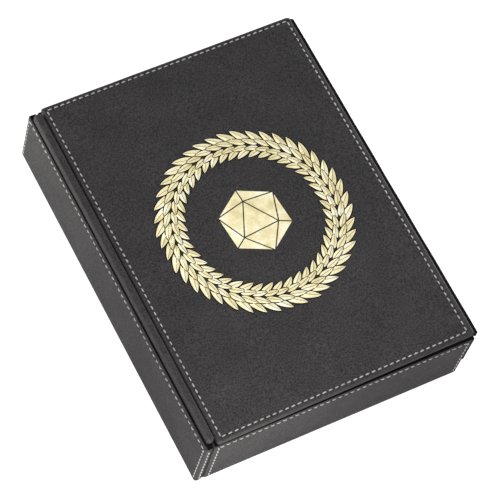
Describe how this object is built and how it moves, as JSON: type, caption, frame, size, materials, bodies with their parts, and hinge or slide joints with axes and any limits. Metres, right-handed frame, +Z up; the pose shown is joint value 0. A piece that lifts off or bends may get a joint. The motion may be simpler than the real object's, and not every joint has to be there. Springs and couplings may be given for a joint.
{
  "type": "folding dice tray",
  "caption": "Book-like dice tray in stitched leatherette: flat lined base, fold-down walls and a padded lid hinged on a rolled spine, with a gold foil wreath and die on the lid.",
  "frame": {"origin": "middle of the underside, on the surface that the tray rests on", "axes": "+Z up; Y along the lid hinge; the hinge is at -X and the lid's free edge at +X"},
  "size_m": [0.1754, 0.2302, 0.0536],
  "materials": {
    "leather": "matt pebbled leatherette",
    "thread": "twisted polyester thread",
    "foil": "hot-stamped gold foil",
    "lining": "short black velvet",
    "felt": "short black velvet",
    "board": "thin fibreboard",
    "foam": "thin foam sheet",
    "cord": "plain cotton cord",
    "magnet": "nickel-plated",
    "steel": "plain strip"
  },
  "bodies": {
    "base": {"base_cover": "leather", "base_board": "board", "floor_foam": "foam", "floor_felt": "felt"},
    "left_wall": {"left_wall_cover": "leather", "left_wall_lining": "lining", "left_wall_stitching": "thread", "left_wall_board": "board", "left_wall_magnets": "magnet", "spine_sleeve": "leather", "spine_cord": "cord", "spine_band": "lining"},
    "right_wall": {"right_wall_cover": "leather", "right_wall_lining": "lining", "right_wall_stitching": "thread", "right_wall_keeper": "steel", "right_wall_board": "board", "right_wall_magnets": "magnet"},
    "front_wall": {"front_wall_cover": "leather", "front_wall_lining": "lining", "front_wall_stitching": "thread", "front_wall_board": "board", "front_wall_magnets": "magnet"},
    "back_wall": {"back_wall_cover": "leather", "back_wall_lining": "lining", "back_wall_stitching": "thread", "back_wall_board": "board", "back_wall_magnets": "magnet"},
    "lid": {"lid_cover": "leather", "lid_lining": "lining", "lid_board": "board", "lid_foam": "foam", "lid_magnets": "magnet", "lid_stitching": "thread", "lid_emblem": "foil"}
  },
  "joints": [
    {"name": "left_wall_fold", "type": "hinge", "parent": "base", "child": "left_wall", "pos_m": [-0.0871, 0, 0.0004], "axis": [0, -1, 0], "range_deg": [0, 90]},
    {"name": "right_wall_fold", "type": "hinge", "parent": "base", "child": "right_wall", "pos_m": [0.0871, 0, 0.0004], "axis": [0, 1, 0], "range_deg": [0, 90]},
    {"name": "front_wall_fold", "type": "hinge", "parent": "base", "child": "front_wall", "pos_m": [0, -0.1146, 0.0004], "axis": [1, 0, 0], "range_deg": [0, 90]},
    {"name": "back_wall_fold", "type": "hinge", "parent": "base", "child": "back_wall", "pos_m": [0, 0.1146, 0.0004], "axis": [-1, 0, 0], "range_deg": [0, 90]},
    {"name": "lid_hinge", "type": "hinge", "parent": "left_wall", "child": "lid", "pos_m": [-0.0838, 0, 0.0474], "axis": [0, -1, 0], "range_deg": [0, 178]}
  ]
}
